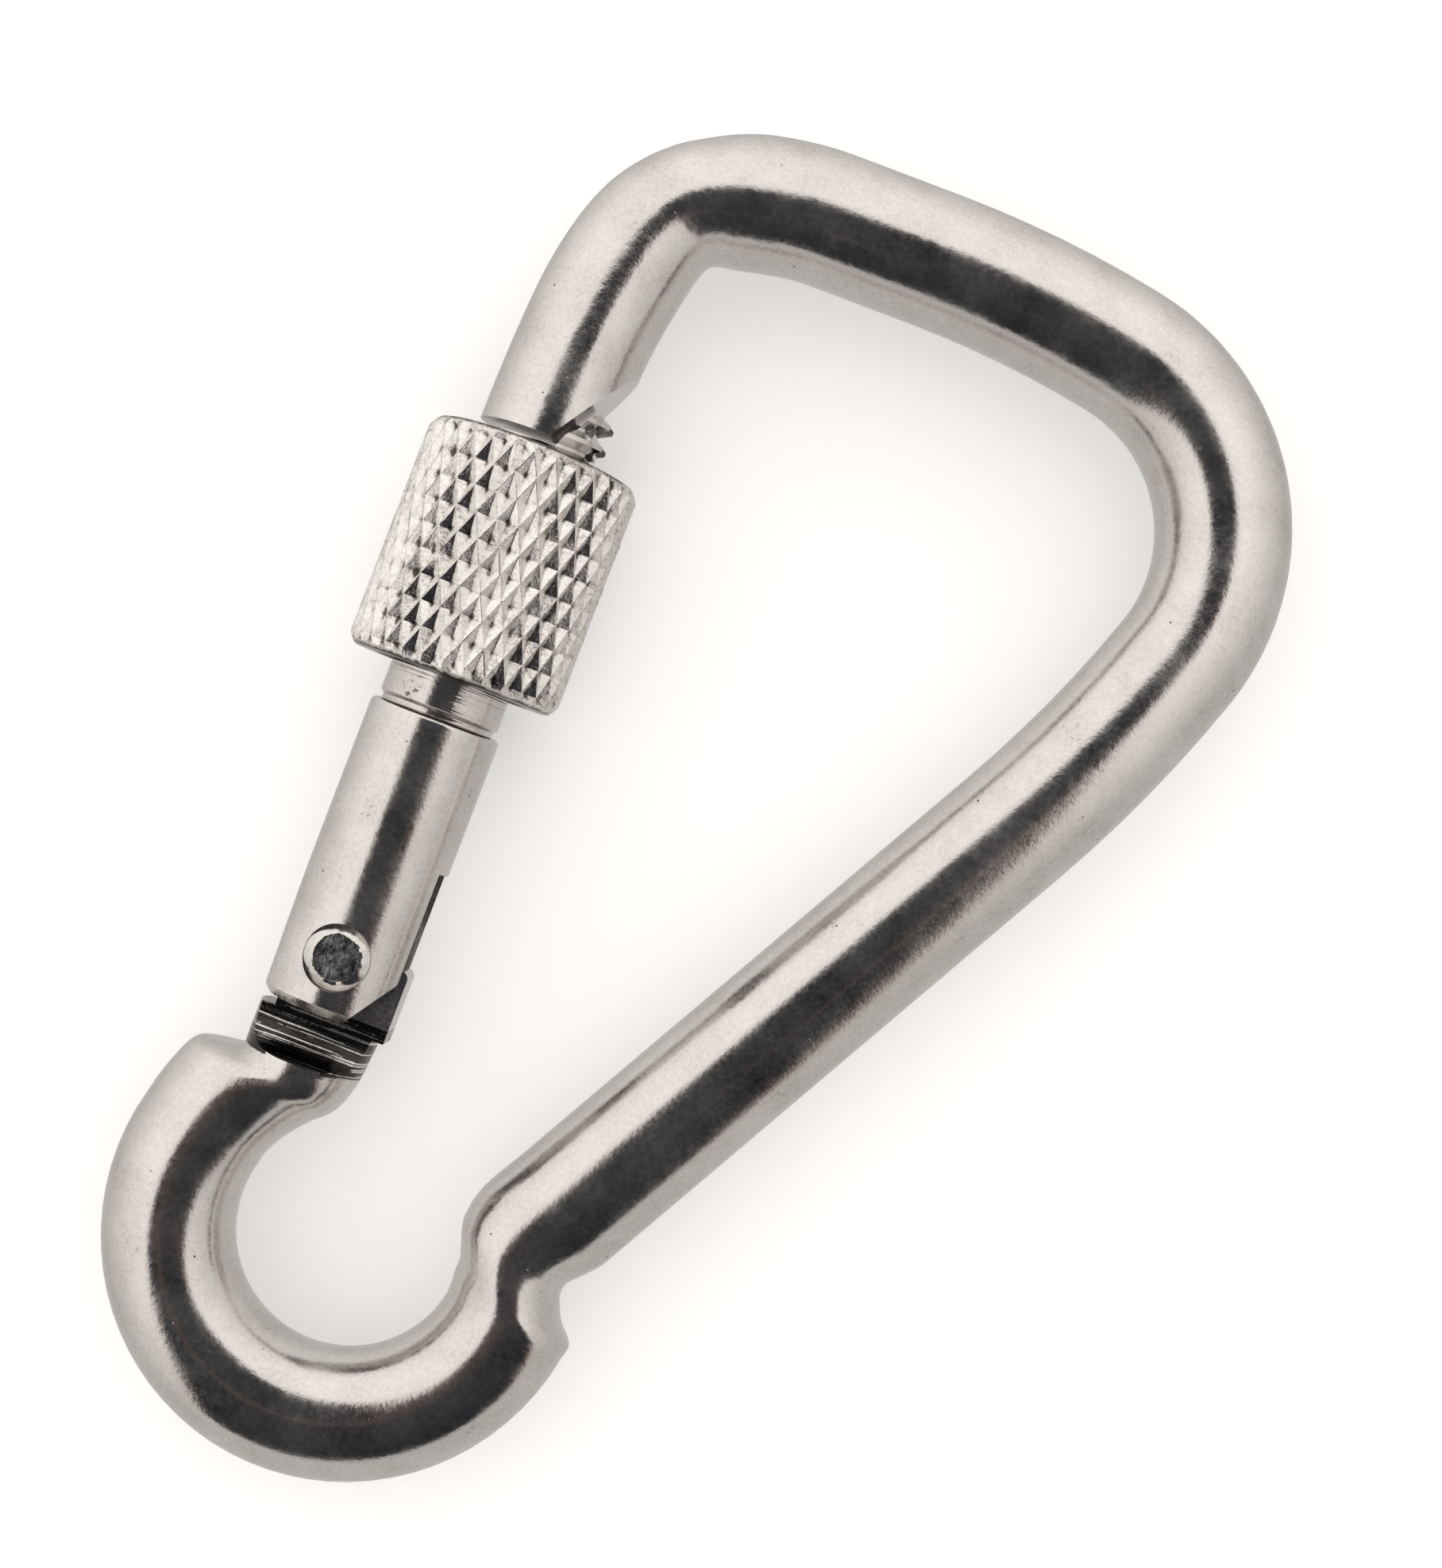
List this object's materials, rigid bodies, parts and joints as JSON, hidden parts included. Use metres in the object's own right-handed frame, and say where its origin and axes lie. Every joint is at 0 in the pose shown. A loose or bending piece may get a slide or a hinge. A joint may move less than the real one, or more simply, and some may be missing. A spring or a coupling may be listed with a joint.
{
  "type": "screw-lock spring hook",
  "caption": "Asymmetric bent-wire snap hook with a small fixed eye, a wide bow, a sprung hinged gate and a knurled screw sleeve that locks it.",
  "frame": {"origin": "centre of the small eye, in the middle plane of the wire", "axes": "+Y along the closed gate towards the nose, +X from the gate to the spine, +Z square to the plane of the hook"},
  "size_m": [0.0395, 0.0632, 0.0098],
  "materials": {
    "body_steel": "tumbled and polished bent wire, fine pits and draw marks",
    "gate_steel": "turned and tumbled, soft polish",
    "sleeve_plate": "bright plated, diamond knurl",
    "rivet_steel": "peened and dull",
    "spring_steel": "drawn spring wire"
  },
  "bodies": {
    "hook": {"hook_body": "body_steel", "hinge_rivet": "rivet_steel"},
    "gate": {"gate_lever": "gate_steel", "latch_pin": "rivet_steel", "gate_spring": "spring_steel"},
    "sleeve": {"lock_sleeve": "sleeve_plate"},
    "plunger": {"spring_plunger": "spring_steel"}
  },
  "joints": [
    {"name": "gate_swing", "type": "hinge", "parent": "hook", "child": "gate", "pos_m": [-0.0045, 0.01135, 0], "axis": [0, 0, -1], "range_deg": [0, 28], "stiffness_Nm_per_rad": 0.16, "springref_deg": -17.76},
    {"name": "sleeve_travel", "type": "slide", "parent": "gate", "child": "sleeve", "axis": [0, 1, 0], "range_m": [-0.0014, 0.0035]},
    {"name": "plunger_slide", "type": "slide", "parent": "gate", "child": "plunger", "axis": [0, 1, 0], "range_m": [0, 0.00046], "deforming": ["gate_spring"]}
  ],
  "couplings": [
    {"joint": "plunger_slide", "follows": "gate_swing", "m_per_rad": 0.0009167}
  ]
}
